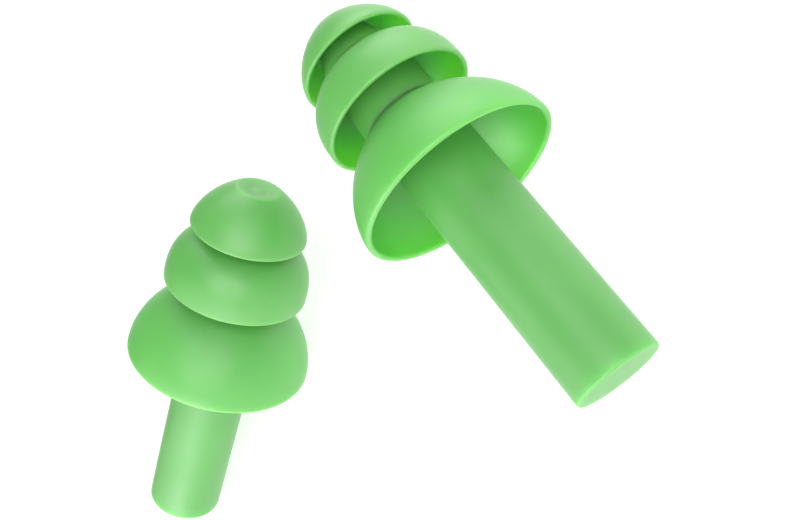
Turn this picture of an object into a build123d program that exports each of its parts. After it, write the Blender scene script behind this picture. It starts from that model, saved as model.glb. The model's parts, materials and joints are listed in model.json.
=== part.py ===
from build123d import *
from math import acos, asin, atan, atan2, cos, degrees, hypot, radians, sin
import os

# A pair of reusable ear plugs with three flanges, lying side by side on a table.
# Each plug is a solid round stem with three thin domed cups on its core. The cups
# open towards the stem and grow from the tip to the base, so that they seal one
# behind the other in an ear canal. All sizes are millimetres and degrees.
#
# One plug is drawn upright, with the closed end of its stem at height 0 and its
# tip up. Each flange is keyed into a groove round the stem and bonded there.
# The plug is then laid down: it rests on the end of its stem and on the lip of
# its base cup. The origin is at the middle of the underside of the pair.

# Stem: a grip at the bottom, and above it the core that carries the flanges
STEM_DIAMETER = 5.15
STEM_LENGTH = 13.6  # from its closed end to the rim of the base cup
STEM_EDGE_RADIUS = 0.15
KEY_DEPTH = 0.35  # depth of the grooves that two of the flanges are keyed into
TAPER_CLEARANCE = 0.1  # straight core above the middle flange, before the taper
NOSE_DIAMETER = 2.9  # flat top of the core, seated in the crown of the tip
NOSE_SEAT_DEPTH = 0.3  # how far the nose goes into the crown past the ceiling

# Base flange, the largest
BASE_DIAMETER = 12.5
BASE_DOME_RISE = 5.8  # from the straight wall to where the dome would close
BASE_DOME_POWER = 1.8  # 2 is an ellipse, less is more conical, more is squarer
BASE_LIP = 0.36  # wall thickness at the rim
BASE_CROWN = 0.9  # wall thickness at the top of the dome
BASE_WALL = 0.0  # straight wall between the rim and the dome
BASE_ROOT_REACH = 0.8  # how far the fillet inside the cup spreads from the stem

# Middle flange
MIDDLE_GAP = 2.05  # free height from the dome below up to the rim
MIDDLE_DIAMETER = 9.55
MIDDLE_DOME_RISE = 3.75
MIDDLE_DOME_POWER = 2.38
MIDDLE_LIP = 0.29
MIDDLE_CROWN = 0.8
MIDDLE_WALL = 0.3
MIDDLE_ROOT_REACH = 0.45

# Tip flange, which closes the end of the plug
TIP_GAP = 1.0
TIP_DIAMETER = 7.65
TIP_DOME_RISE = 3.5
TIP_DOME_POWER = 1.55
TIP_LIP = 0.25
TIP_CROWN = 0.85
TIP_WALL = 0.0
TIP_ROOT_REACH = 0.4
DIMPLE_DIAMETER = 2.1  # gate dimple in the tip
DIMPLE_DEPTH = 0.22
DIMPLE_RING = 0.5  # width of the soft raised ring round the dimple

OUTER_ROOT_REACH = 0.15  # small fillet where a dome's top meets the stem
DOME_POINTS = 9  # points that carry each dome curve

# How the two plugs lie
HALF_SPLAY = 38.3  # each stem points this far to its side of straight forward
RIM_SPACING = 21.9  # from rim centre to rim centre, left to right
RIGHT_SET_BACK = 9.0  # the right plug's rim centre lies this far behind the left's

STEM_RADIUS = STEM_DIAMETER / 2
NOSE_RADIUS = NOSE_DIAMETER / 2
GROOVE_RADIUS = STEM_RADIUS - KEY_DEPTH


class Dome:
    """One face of a cup: a superellipse turned about the plug's axis."""

    def __init__(self, radius, base, rise, power):
        self.radius = radius
        self.base = base
        self.rise = rise
        self.power = power

    def height(self, r):
        """Height of the face at radius r."""
        share = (r / self.radius) ** self.power
        return self.base + self.rise * (1 - share) ** (1 / self.power)

    def inward(self, r):
        """Direction of the face at radius r, up and in towards the axis."""
        x = r / self.radius
        flat = (1 - x**self.power) ** (1 / self.power - 1)
        slope = atan(self.rise / self.radius * x ** (self.power - 1) * flat)
        return -cos(slope), sin(slope)

    def curve(self, r_end):
        """The face from its foot, where it stands straight up, in to r_end."""
        last = acos((r_end / self.radius) ** (self.power / 2))
        points = []
        for i in range(DOME_POINTS):
            turn = last * i / (DOME_POINTS - 1)
            r = self.radius * cos(turn) ** (2 / self.power)
            rise = self.rise * sin(turn) ** (2 / self.power)
            points.append((r, self.base + rise))
        return Spline(*points, tangents=[(0, 1), self.inward(r_end)])


class Cup:
    """Both faces of a flange and its rounded lip."""

    def __init__(self, rim, diameter, dome_rise, dome_power, lip, crown, wall):
        self.rim = rim
        self.lip = lip
        foot = rim + wall
        self.outer = Dome(diameter / 2, foot, dome_rise, dome_power)
        self.inner = Dome(diameter / 2 - lip, foot, dome_rise - crown, dome_power)

    def skin(self, inner_end, outer_end):
        """The faces up to these two radii, with the lip that joins them."""
        outer_rim = (self.outer.radius, self.rim)
        inner_rim = (self.inner.radius, self.rim)
        lip_bottom = (self.outer.radius - self.lip / 2, self.rim - self.lip / 2)
        edges = [ThreePointArc(outer_rim, lip_bottom, inner_rim)]
        if self.outer.base > self.rim:
            edges.append(Line(outer_rim, (self.outer.radius, self.outer.base)))
            edges.append(Line(inner_rim, (self.inner.radius, self.inner.base)))
        edges.append(self.outer.curve(outer_end))
        edges.append(self.inner.curve(inner_end))
        return edges

    def rim_above(self, diameter, lip, gap):
        """Height of the next cup's rim, if its lip clears this dome by gap."""
        return self.outer.height(diameter / 2 - lip) + gap + lip / 2


def turned(edges):
    """A solid of revolution about the plug's axis from its half outline."""
    return revolve(Plane.XZ * make_face(Curve() + edges), Axis.Z)


def root_fillet(dome, reach, side):
    """Arc from a dome's face to the stem: above the face (side 1) or below (-1)."""
    start_radius = STEM_RADIUS + reach
    inward = dome.inward(start_radius)
    start = (start_radius, dome.height(start_radius))
    fillet_radius = reach / (1 - side * inward[1])
    end = (STEM_RADIUS, start[1] - side * fillet_radius * inward[0])
    return TangentArc(start, end, tangent=inward), end


def ring_flange(cup, root_reach):
    """A flange that the stem passes through, with the ends of its groove."""
    below, key_bottom = root_fillet(cup.inner, root_reach, -1)
    above, key_top = root_fillet(cup.outer, OUTER_ROOT_REACH, 1)
    edges = cup.skin(STEM_RADIUS + root_reach, STEM_RADIUS + OUTER_ROOT_REACH)
    edges += [below, above]
    groove_bottom = (GROOVE_RADIUS, key_bottom[1])
    groove_top = (GROOVE_RADIUS, key_top[1])
    for start, end in (
        (key_bottom, groove_bottom),
        (groove_bottom, groove_top),
        (groove_top, key_top),
    ):
        edges.append(Line(start, end))
    return turned(edges), key_bottom[1], key_top[1]


base_cup = Cup(
    STEM_LENGTH, BASE_DIAMETER, BASE_DOME_RISE, BASE_DOME_POWER,
    BASE_LIP, BASE_CROWN, BASE_WALL,
)
middle_cup = Cup(
    base_cup.rim_above(MIDDLE_DIAMETER, MIDDLE_LIP, MIDDLE_GAP),
    MIDDLE_DIAMETER, MIDDLE_DOME_RISE, MIDDLE_DOME_POWER,
    MIDDLE_LIP, MIDDLE_CROWN, MIDDLE_WALL,
)
tip_cup = Cup(
    middle_cup.rim_above(TIP_DIAMETER, TIP_LIP, TIP_GAP),
    TIP_DIAMETER, TIP_DOME_RISE, TIP_DOME_POWER,
    TIP_LIP, TIP_CROWN, TIP_WALL,
)
base_flange, base_groove_bottom, base_groove_top = ring_flange(base_cup, BASE_ROOT_REACH)
middle_flange, middle_groove_bottom, middle_groove_top = ring_flange(
    middle_cup, MIDDLE_ROOT_REACH
)

# The core narrows in a straight line from just above the middle flange to its
# nose, whose flat top stands a little above the ceiling of the tip cup.
taper_start = middle_groove_top + TAPER_CLEARANCE
ceiling = tip_cup.inner.height(NOSE_RADIUS + TIP_ROOT_REACH)
nose_top = ceiling + NOSE_SEAT_DEPTH
seat_height = ceiling - NOSE_SEAT_DEPTH
seat_share = (nose_top - seat_height) / (nose_top - taper_start)
seat = (NOSE_RADIUS + (STEM_RADIUS - NOSE_RADIUS) * seat_share, seat_height)


def closed_flange():
    """The tip flange, with a blind pocket for the nose, and the height of its top."""
    ceiling_radius = seat[0] + TIP_ROOT_REACH
    ceiling_edge = (ceiling_radius, tip_cup.inner.height(ceiling_radius))
    # The dome runs up to a soft ring, which falls to the flat floor of the dimple.
    dome_end = DIMPLE_DIAMETER / 2 + DIMPLE_RING
    inward = tip_cup.outer.inward(dome_end)
    dome_edge = (dome_end, tip_cup.outer.height(dome_end))
    ring_top = (dome_end - 0.6 * DIMPLE_RING, dome_edge[1] + DIMPLE_RING / 2 * inward[1])
    floor_edge = (DIMPLE_DIAMETER / 2 - DIMPLE_RING / 2, ring_top[1] - DIMPLE_DEPTH)
    edges = tip_cup.skin(ceiling_radius, dome_end)
    edges.append(
        Spline(dome_edge, ring_top, floor_edge, tangents=[inward, (-1, 0), (-1, 0)])
    )
    pocket = [floor_edge, (0, floor_edge[1]), (0, nose_top), (NOSE_RADIUS, nose_top), seat]
    for start, end in zip(pocket, pocket[1:]):
        edges.append(Line(start, end))
    ceiling_inward = tip_cup.inner.inward(ceiling_radius)
    edges.append(TangentArc(ceiling_edge, seat, tangent=ceiling_inward))
    return turned(edges), ring_top[1]


def stem_with_core():
    """The stem and core in one piece, with a groove for each of the two rings."""
    edge = STEM_EDGE_RADIUS
    corner_cut = edge * (1 - sin(radians(45)))
    edges = [
        ThreePointArc(
            (STEM_RADIUS - edge, 0), (STEM_RADIUS - corner_cut, corner_cut), (STEM_RADIUS, edge)
        )
    ]
    side = [(STEM_RADIUS, edge)]
    for bottom, top in (
        (base_groove_bottom, base_groove_top),
        (middle_groove_bottom, middle_groove_top),
    ):
        side += [(STEM_RADIUS, bottom), (GROOVE_RADIUS, bottom)]
        side += [(GROOVE_RADIUS, top), (STEM_RADIUS, top)]
    side += [(STEM_RADIUS, taper_start), (NOSE_RADIUS, nose_top), (0, nose_top)]
    side += [(0, 0), (STEM_RADIUS - edge, 0)]
    for start, end in zip(side, side[1:]):
        edges.append(Line(start, end))
    return turned(edges)


tip_flange, plug_length = closed_flange()
plug = {
    "stem": stem_with_core(),
    "base_flange": base_flange,
    "middle_flange": middle_flange,
    "tip_flange": tip_flange,
}

# Lying down, the plug touches the table along the rounded edge of its stem's end
# and along the rounded lip of its base cup: the table is their common tangent.
edge_centre = (STEM_RADIUS - STEM_EDGE_RADIUS, STEM_EDGE_RADIUS)
lip_centre = (BASE_DIAMETER / 2 - BASE_LIP / 2, STEM_LENGTH)
across = lip_centre[0] - edge_centre[0]
along = lip_centre[1] - edge_centre[1]
tilt = atan2(across, along)
tilt += asin((BASE_LIP / 2 - STEM_EDGE_RADIUS) / hypot(along, across))
end_height = edge_centre[0] * cos(tilt) - edge_centre[1] * sin(tilt) + STEM_EDGE_RADIUS


def laid_down(shape, side):
    """An upright piece laid on the table, on the left (side -1) or the right (1)."""
    tip_heading = 90 + side * HALF_SPLAY
    reach = STEM_LENGTH * cos(tilt)
    end_x = side * RIM_SPACING / 2 - reach * cos(radians(tip_heading))
    end_y = side * RIGHT_SET_BACK / 2 - reach * sin(radians(tip_heading))
    lean = Rot(Y=90 - degrees(tilt))
    return Pos(end_x, end_y, end_height) * Rot(Z=tip_heading) * lean * shape


pieces = {}
for side_name, side in (("left", -1), ("right", 1)):
    for piece_name, shape in plug.items():
        pieces[side_name + "_" + piece_name] = laid_down(shape, side)

# The pair moves so that the origin is at the middle of its underside.
extent = Compound(list(pieces.values())).bounding_box()
centre = extent.center()
move = Pos(-centre.X, -centre.Y, -extent.min.Z)
os.makedirs("parts", exist_ok=True)
for name, shape in pieces.items():
    export_step(move * shape, "parts/" + name + ".step")

print("plug length", round(plug_length, 3), "tilt", round(degrees(tilt), 4))
print("rims at", round(base_cup.rim, 3), round(middle_cup.rim, 3), round(tip_cup.rim, 3))
print("grip wall from", STEM_EDGE_RADIUS, "to", round(base_groove_bottom, 3))
print("pair size", extent.size, "moved by", -centre.X, -centre.Y, -extent.min.Z)
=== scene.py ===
import bpy
import json
from math import acos, atan, cos, pi, radians, sin
from mathutils import Matrix, Vector, noise


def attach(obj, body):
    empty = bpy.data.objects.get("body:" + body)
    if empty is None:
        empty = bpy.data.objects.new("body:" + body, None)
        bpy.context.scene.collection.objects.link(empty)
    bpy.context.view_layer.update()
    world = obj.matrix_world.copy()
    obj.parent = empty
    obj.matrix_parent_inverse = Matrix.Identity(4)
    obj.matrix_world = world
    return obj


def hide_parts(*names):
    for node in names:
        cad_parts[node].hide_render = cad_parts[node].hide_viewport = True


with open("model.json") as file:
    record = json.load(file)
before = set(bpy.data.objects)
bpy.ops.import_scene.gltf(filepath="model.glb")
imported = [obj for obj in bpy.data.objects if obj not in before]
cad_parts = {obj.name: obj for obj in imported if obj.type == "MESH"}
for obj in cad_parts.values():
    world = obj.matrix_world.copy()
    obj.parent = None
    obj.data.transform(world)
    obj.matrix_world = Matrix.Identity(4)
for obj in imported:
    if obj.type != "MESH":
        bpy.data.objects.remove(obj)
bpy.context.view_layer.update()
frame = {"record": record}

# The pair: two identical ear plugs lie on a table, on the ends of their stems and on
# the lips of their largest cups. Each is moulded round one axis, which starts at the
# middle of the stem's closed end, where the record has a mount, and runs to the tip.
MM = 0.001
SIDES = ("left", "right")
mounts = {mount["name"]: mount for mount in frame["record"]["mounts"]}


def lying_place(side):
    """Where an upright plug goes: its foot at the stem's end, its top at the tip."""
    foot = mounts[side + "_stem_end"]
    to_tip = -Vector(foot["axis"])
    turn = to_tip.to_track_quat("Z", "Y").to_matrix().to_4x4()
    return Matrix.Translation(foot["pos_m"]) @ turn


# Base and middle flanges: thin domed cups of soft thermoplastic elastomer that open
# towards the stem. They are moulded in one with the plug, so a fillet runs from each
# cup's ceiling into the stem, and the lip is rounded where the mould splits.
STEM_RADIUS = 2.575
GROOVE_RADIUS = 2.225  # the flanges are keyed into the stem down to here
OUTER_ROOT = 0.15  # reach of the small fillet on top of a dome
RING_FLANGES = {
    "base_flange": dict(
        rim=13.6, radius=6.25, rise=5.8, power=1.8, lip=0.36, crown=0.9, wall=0.0, root=0.8
    ),
    "middle_flange": dict(
        rim=19.516, radius=4.775, rise=3.75, power=2.38, lip=0.29, crown=0.8, wall=0.3, root=0.45
    ),
}
TURNS = 144  # vertices round a plug
DOME_STEPS = 40
LIP_STEPS = 12
FILLET_STEPS = 8


def dome_height(dome, r):
    """Height of a dome's face at radius r."""
    share = (r / dome["radius"]) ** dome["power"]
    return dome["foot"] + dome["rise"] * (1 - share) ** (1 / dome["power"])


def dome_slope(dome, r):
    """How steeply the face climbs towards the axis at radius r."""
    power = dome["power"]
    share = r / dome["radius"]
    fall = share ** (power - 1) * (1 - share**power) ** (1 / power - 1)
    return atan(dome["rise"] / dome["radius"] * fall)


def dome_points(dome, r_end):
    """The face from its upright foot in to r_end."""
    last = acos((r_end / dome["radius"]) ** (dome["power"] / 2))
    points = []
    for step in range(DOME_STEPS + 1):
        turn = last * step / DOME_STEPS
        r = dome["radius"] * cos(turn) ** (2 / dome["power"])
        points.append((r, dome["foot"] + dome["rise"] * sin(turn) ** (2 / dome["power"])))
    return points


def arc_points(centre, radius, start, end, steps):
    """Points of a round stretch between two angles, ends included."""
    points = []
    for step in range(steps + 1):
        angle = start + (end - start) * step / steps
        points.append((centre[0] + radius * cos(angle), centre[1] + radius * sin(angle)))
    return points


def root_fillet(dome, reach, side):
    """From a dome's face round onto the stem: above the face (side 1) or below (-1)."""
    start = STEM_RADIUS + reach
    slope = dome_slope(dome, start)
    radius = reach / (1 - side * sin(slope))
    centre = (STEM_RADIUS + radius, dome_height(dome, start) + side * radius * cos(slope))
    return arc_points(centre, radius, -side * pi / 2 - slope, -side * pi, FILLET_STEPS)


def cup_faces(cup):
    """The outer and the inner dome of a cup."""
    foot = cup["rim"] + cup["wall"]
    outer = dict(foot=foot, radius=cup["radius"], rise=cup["rise"], power=cup["power"])
    inner = dict(outer, radius=cup["radius"] - cup["lip"], rise=cup["rise"] - cup["crown"])
    return outer, inner


def cup_skin(cup, inner_end, outer_end):
    """The cup's outline from inner_end down its inside, round the lip and up to outer_end."""
    outer, inner = cup_faces(cup)
    lip_centre = (cup["radius"] - cup["lip"] / 2, cup["rim"])
    lip = arc_points(lip_centre, cup["lip"] / 2, -pi, 0, LIP_STEPS)
    if cup["wall"] == 0:
        lip = lip[1:-1]
    return dome_points(inner, inner_end)[::-1] + lip + dome_points(outer, outer_end)


def ring_outline(cup):
    """The closed outline of a cup that the stem passes through, and its groove."""
    outer, inner = cup_faces(cup)
    below = root_fillet(inner, cup["root"], -1)
    above = root_fillet(outer, OUTER_ROOT, 1)
    skin = cup_skin(cup, STEM_RADIUS + cup["root"], STEM_RADIUS + OUTER_ROOT)
    groove = (below[-1][1], above[-1][1])
    key = [(GROOVE_RADIUS, groove[1]), (GROOVE_RADIUS, groove[0])]
    return below[:0:-1] + skin + above[1:] + key, groove


SWAY = 0.02  # how far a soft moulding wanders from true round, in mm
SWAY_PERIOD = 7.0
SWAY_SEED = 7
SHARP_EDGE = 45  # faces that meet at more than this many degrees keep a crisp edge
noise.seed_set(SWAY_SEED)


def relaxed(point):
    """A point of the upright plug, moved a little as a soft moulding relaxes."""
    shift = noise.noise_vector(point / SWAY_PERIOD) * SWAY
    return point + Vector((shift.x, shift.y, 0))


def turn_outline(name, outline, closed, place):
    """A solid turned from its half outline in mm: a closed ring, or one that meets the axis."""
    vertices, rings = [], []
    for r, height in outline:
        rings.append([])
        for step in range(TURNS if r > 0 else 1):
            angle = 2 * pi * step / TURNS
            point = relaxed(Vector((r * cos(angle), r * sin(angle), height)))
            rings[-1].append(len(vertices))
            vertices.append(place @ (point * MM))
    pairs = list(zip(rings, rings[1:]))
    if closed:
        pairs.append((rings[-1], rings[0]))
    faces = []
    for low, high in pairs:
        for step in range(TURNS):
            after = (step + 1) % TURNS
            face = [low[step % len(low)], low[after % len(low)]]
            face += [high[after % len(high)], high[step % len(high)]]
            faces.append(list(dict.fromkeys(face)))  # a ring on the axis is a single vertex
    mesh = bpy.data.meshes.new(name)
    mesh.from_pydata(vertices, [], faces)
    mesh.validate()
    mesh.shade_smooth()
    mesh.set_sharp_from_angle(angle=radians(SHARP_EDGE))
    piece = bpy.data.objects.new(name, mesh)
    bpy.context.scene.collection.objects.link(piece)
    return piece


def linear(hex_colour):
    """An sRGB hex colour as linear red, green, blue and alpha."""
    values = [int(hex_colour[i:i + 2], 16) / 255 for i in (1, 3, 5)]
    return [v / 12.92 if v <= 0.04045 else ((v + 0.055) / 1.055) ** 2.4 for v in values] + [1]


def add_node(tree, kind, settings=None, links=None):
    """Add a node, set its fields or its sockets' values, and link its sockets."""
    node = tree.nodes.new("ShaderNode" + kind)
    for key, value in (settings or {}).items():
        if hasattr(node, key):
            setattr(node, key, value)
        else:
            node.inputs[key].default_value = value
    for key, source in (links or {}).items():
        tree.links.new(source, node.inputs[key])
    return node


DYE_PATCH = 5.0  # mm, as are the four sizes below
HANDLED_PATCH = 4.0
GRAIN_WIDTH = 0.12
GRAIN_HEIGHT = 0.01
LIGHT_DEPTH = 2.2  # how far light wanders inside before it comes out again


def moulded_elastomer():
    """Soft green thermoplastic elastomer, injection moulded in a spark-finished tool.

    It is dyed right through and slightly translucent, so thin walls glow and hollows
    turn a deeper green. The tool's fine even grain gives a satin sheen, and fingers
    polish it in soft patches a few millimetres wide.
    """
    material = bpy.data.materials.new("moulded_green_elastomer")
    material.use_nodes = True
    tree = material.node_tree
    tree.nodes.clear()
    place = add_node(tree, "TexCoord").outputs["Object"]
    # the dye is stirred in, so the green drifts very little from place to place
    dye = add_node(
        tree, "TexNoise", {"Scale": 1 / (DYE_PATCH * MM), "Detail": 3}, {"Vector": place}
    )
    green = add_node(tree, "ValToRGB", links={"Fac": dye.outputs["Fac"]})
    green.color_ramp.elements[0].position = 0.3
    green.color_ramp.elements[0].color = linear("#59A64D")
    green.color_ramp.elements[1].position = 0.7
    green.color_ramp.elements[1].color = linear("#60AA54")
    # the spark finish is about 0.02 mm across, drawn coarser so that it can be seen
    grain = add_node(
        tree, "TexNoise", {"Scale": 1 / (GRAIN_WIDTH * MM), "Detail": 2}, {"Vector": place}
    )
    finish = add_node(
        tree,
        "Bump",
        {"Strength": 0.15, "Distance": GRAIN_HEIGHT * MM},
        {"Height": grain.outputs["Fac"]},
    )
    handled = add_node(
        tree, "TexNoise", {"Scale": 1 / (HANDLED_PATCH * MM), "Detail": 2}, {"Vector": place}
    )
    satin = add_node(
        tree,
        "MapRange",
        {"From Min": 0.3, "From Max": 0.7, "To Min": 0.42, "To Max": 0.56},
        {"Value": handled.outputs["Fac"]},
    )
    shader = add_node(
        tree,
        "BsdfPrincipled",
        {
            "IOR": 1.49,
            "Specular IOR Level": 0.8,
            "Coat Weight": 0.45,
            "Coat Roughness": 0.5,
            "Coat IOR": 1.5,
            "Subsurface Weight": 1.0,
            "Subsurface Radius": (0.6, 1.0, 0.35),
            "Subsurface Scale": LIGHT_DEPTH * MM,
        },
        {
            "Base Color": green.outputs["Color"],
            "Roughness": satin.outputs["Result"],
            "Normal": finish.outputs["Normal"],
        },
    )
    add_node(tree, "OutputMaterial", links={"Surface": shader.outputs["BSDF"]})
    return material


elastomer = moulded_elastomer()


def fit_piece(piece, side, node):
    """Give a piece its material and its plug, and hide the CAD node that it stands for."""
    piece.data.materials.append(elastomer)
    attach(piece, side + "_plug")
    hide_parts(side + "_" + node)


grooves = []
for flange, cup in RING_FLANGES.items():
    outline, groove = ring_outline(cup)
    grooves.append(groove)
    for side in SIDES:
        piece = turn_outline(side + "_" + flange + "_moulding", outline, True, lying_place(side))
        fit_piece(piece, side, flange)


# Tip flange: the smallest cup closes the plug, so that it slides into the ear canal
# first. Its crown holds the nose of the core, and the gate where the elastomer was
# injected leaves a shallow dimple with a soft ring round it.
TIP_FLANGE = dict(rim=23.738, radius=3.825, rise=3.5, power=1.55, lip=0.25, crown=0.85, wall=0.0)
TIP_ROOT = 0.4
NOSE_RADIUS = 1.45
NOSE_SEAT = 0.3  # how far the nose stands above the ceiling, and its seat below
DIMPLE_RADIUS = 1.05  # to the inner edge of the ring
DIMPLE_DEPTH = 0.15
DIMPLE_RING = 0.65
RING_CREST = 0.6  # share of the ring's width that lies outside its highest line
GATE_FOOT_RADIUS = 0.448  # of the stub left where the gate was cut off
GATE_TOP_RADIUS = 0.168
GATE_HEIGHT = 0.05
TAPER_START = 23.442  # where the core begins to narrow towards its nose
tip_outer, tip_inner = cup_faces(TIP_FLANGE)
ceiling = dome_height(tip_inner, NOSE_RADIUS + TIP_ROOT)
nose_top = ceiling + NOSE_SEAT
seat_height = ceiling - NOSE_SEAT
seat_share = (nose_top - seat_height) / (nose_top - TAPER_START)
seat = (NOSE_RADIUS + (STEM_RADIUS - NOSE_RADIUS) * seat_share, seat_height)


def bridge_points(start, start_way, end, end_way, steps):
    """A smooth curve from start to end that leaves and arrives in the given directions."""
    reach = (Vector(end) - Vector(start)).length
    points = []
    for step in range(steps + 1):
        t = step / steps
        weights = (2*t**3 - 3*t**2 + 1, t**3 - 2*t**2 + t, 3*t**2 - 2*t**3, t**3 - t**2)
        point = Vector(start) * weights[0] + Vector(start_way) * reach * weights[1]
        point += Vector(end) * weights[2] + Vector(end_way) * reach * weights[3]
        points.append(tuple(point))
    return points


def tip_outline():
    """From the pocket's middle, down inside the cup, round the lip and up to the dimple."""
    ceiling_end = seat[0] + TIP_ROOT
    slope = dome_slope(tip_inner, ceiling_end)
    lean = atan((STEM_RADIUS - NOSE_RADIUS) / (nose_top - TAPER_START))
    root = bridge_points(
        seat, (-sin(lean), cos(lean)), (ceiling_end, dome_height(tip_inner, ceiling_end)),
        (cos(slope), -sin(slope)), FILLET_STEPS,
    )
    dome_end = DIMPLE_RADIUS + DIMPLE_RING
    dome_top = (dome_end, dome_height(tip_outer, dome_end))
    slope = dome_slope(tip_outer, dome_end)
    ring_top = (dome_end - RING_CREST * DIMPLE_RING, dome_top[1] + DIMPLE_RING / 2 * sin(slope))
    floor_height = ring_top[1] - DIMPLE_DEPTH
    ring = bridge_points(dome_top, (-cos(slope), sin(slope)), ring_top, (-1, 0), FILLET_STEPS)
    stub_foot = (GATE_FOOT_RADIUS, floor_height)
    dish = bridge_points(ring_top, (-1, 0), stub_foot, (-1, 0), LIP_STEPS)
    stub_top = (GATE_TOP_RADIUS, floor_height + GATE_HEIGHT)
    stub = bridge_points(stub_foot, (-1, 0), stub_top, (-1, 0), FILLET_STEPS)
    pocket = [(0, nose_top), (NOSE_RADIUS, nose_top)]
    skin = cup_skin(TIP_FLANGE, ceiling_end, dome_end)
    return pocket + root + skin[1:] + ring[1:] + dish[1:] + stub[1:] + [(0, stub_top[1])]


for side in SIDES:
    piece = turn_outline(side + "_tip_flange_moulding", tip_outline(), False, lying_place(side))
    fit_piece(piece, side, "tip_flange")


# Stem: a solid round rod of the same elastomer, which the fingers hold. Above the base
# cup it goes on as the core that carries the flanges, and narrows to a flat nose.
STEM_EDGE = 0.15
STEM_STEP = 0.6  # longest stretch of the rod between two rings of vertices


def stem_outline():
    """From the middle of the closed end up the side to the middle of the nose."""
    points = [(0, 0)]
    points += arc_points((STEM_RADIUS - STEM_EDGE, STEM_EDGE), STEM_EDGE, -pi / 2, 0, FILLET_STEPS)
    for bottom, top in grooves:
        start = points[-1][1]
        steps = max(1, round((bottom - start) / STEM_STEP))
        for step in range(1, steps + 1):
            points.append((STEM_RADIUS, start + (bottom - start) * step / steps))
        points += [(GROOVE_RADIUS, bottom), (GROOVE_RADIUS, top), (STEM_RADIUS, top)]
    return points + [(STEM_RADIUS, TAPER_START), (NOSE_RADIUS, nose_top), (0, nose_top)]


for side in SIDES:
    piece = turn_outline(side + "_stem_moulding", stem_outline(), False, lying_place(side))
    fit_piece(piece, side, "stem")


# Table: a sheet of white opal acrylic, lit from below so that nothing on it casts a
# shadow. It is cast flat, with a fine matt face, and is much larger than the pair.
TABLE_SIZE = 4.0  # metres
TABLE_GLOW = 0.74
WIPED_PATCH = 30  # width of the smoother patches, in mm


def laid_table():
    """The sheet that both plugs lie on."""
    half = TABLE_SIZE / 2
    mesh = bpy.data.meshes.new("table_sheet")
    corners = [(-half, -half, 0), (half, -half, 0), (half, half, 0), (-half, half, 0)]
    mesh.from_pydata(corners, [], [(0, 1, 2, 3)])
    table = bpy.data.objects.new("table_sheet", mesh)
    bpy.context.scene.collection.objects.link(table)
    return table


def opal_acrylic():
    """Milky acrylic lit from below, its matt face a little smoother in wiped patches."""
    material = bpy.data.materials.new("opal_acrylic")
    material.use_nodes = True
    tree = material.node_tree
    tree.nodes.clear()
    place = add_node(tree, "TexCoord").outputs["Object"]
    wiped = add_node(
        tree, "TexNoise", {"Scale": 1 / (WIPED_PATCH * MM), "Detail": 3}, {"Vector": place}
    )
    matt = add_node(
        tree, "MapRange", {"To Min": 0.62, "To Max": 0.78}, {"Value": wiped.outputs["Fac"]}
    )
    shader = add_node(
        tree,
        "BsdfPrincipled",
        {
            "Base Color": linear("#A0A09E"),
            "Emission Color": linear("#FFFFFF"),
            "Emission Strength": TABLE_GLOW,
        },
        {"Roughness": matt.outputs["Result"]},
    )
    add_node(tree, "OutputMaterial", links={"Surface": shader.outputs["BSDF"]})
    return material


table = laid_table()
table.data.materials.append(opal_acrylic())


# Light: four white softboxes, each a fabric-faced steel frame: one in front, one at
# each end and one low at the side, inside a tent of thin white cloth that fills in.
TENT_GLOW = 0.25
SOFTBOX_DISTANCE = 0.5
SOFTBOXES = {  # azimuth and elevation in degrees, width in metres, power in watts
    "front_softbox": (-16, 48, 0.5, 2.6),
    "near_end_softbox": (-98, 16, 0.4, 2.0),
    "far_end_softbox": (86, 23, 0.4, 1.5),
    "low_side_softbox": (-138, 32, 0.4, 0.7),
}
for name, (azimuth, elevation, width, power) in SOFTBOXES.items():
    light = bpy.data.lights.new(name, "AREA")
    light.size = width
    light.energy = power
    lamp = bpy.data.objects.new(name, light)
    level = cos(radians(elevation))
    across = (cos(radians(azimuth)) * level, sin(radians(azimuth)) * level)
    way = Vector((*across, sin(radians(elevation))))
    lamp.location = way * SOFTBOX_DISTANCE
    lamp.rotation_euler = way.to_track_quat("Z", "Y").to_euler()
    bpy.context.scene.collection.objects.link(lamp)
world = bpy.data.worlds.new("studio_tent")
world.use_nodes = True
tent_cloth = world.node_tree.nodes["Background"]
tent_cloth.inputs["Color"].default_value = linear("#FFFFFF")
tent_cloth.inputs["Strength"].default_value = TENT_GLOW
bpy.context.scene.world = world
bpy.context.scene.view_settings.view_transform = "Standard"


# Camera: close above the table, turned on its side, with a moderately wide lens.
AIM = (-0.21, 2.67, 0.0)  # the point in the middle of the view, in mm
LOOK_AZIMUTH = 76.10
LOOK_DOWN = 42.92
LOOK_DISTANCE = 65.11
CAMERA_ROLL = -76.83
LENS = 44.14

camera_data = bpy.data.cameras.new("camera")
camera_data.lens = LENS
camera_data.clip_start = 1 * MM
camera_data.clip_end = 10
camera = bpy.data.objects.new("camera", camera_data)
turn = Matrix.Rotation(radians(LOOK_AZIMUTH), 4, "Z")
turn = turn @ Matrix.Rotation(radians(90 - LOOK_DOWN), 4, "X")
turn = turn @ Matrix.Rotation(radians(CAMERA_ROLL), 4, "Z")
back = turn.to_3x3() @ Vector((0, 0, 1))
camera.matrix_world = Matrix.Translation((Vector(AIM) + back * LOOK_DISTANCE) * MM) @ turn
bpy.context.scene.collection.objects.link(camera)
bpy.context.scene.camera = camera
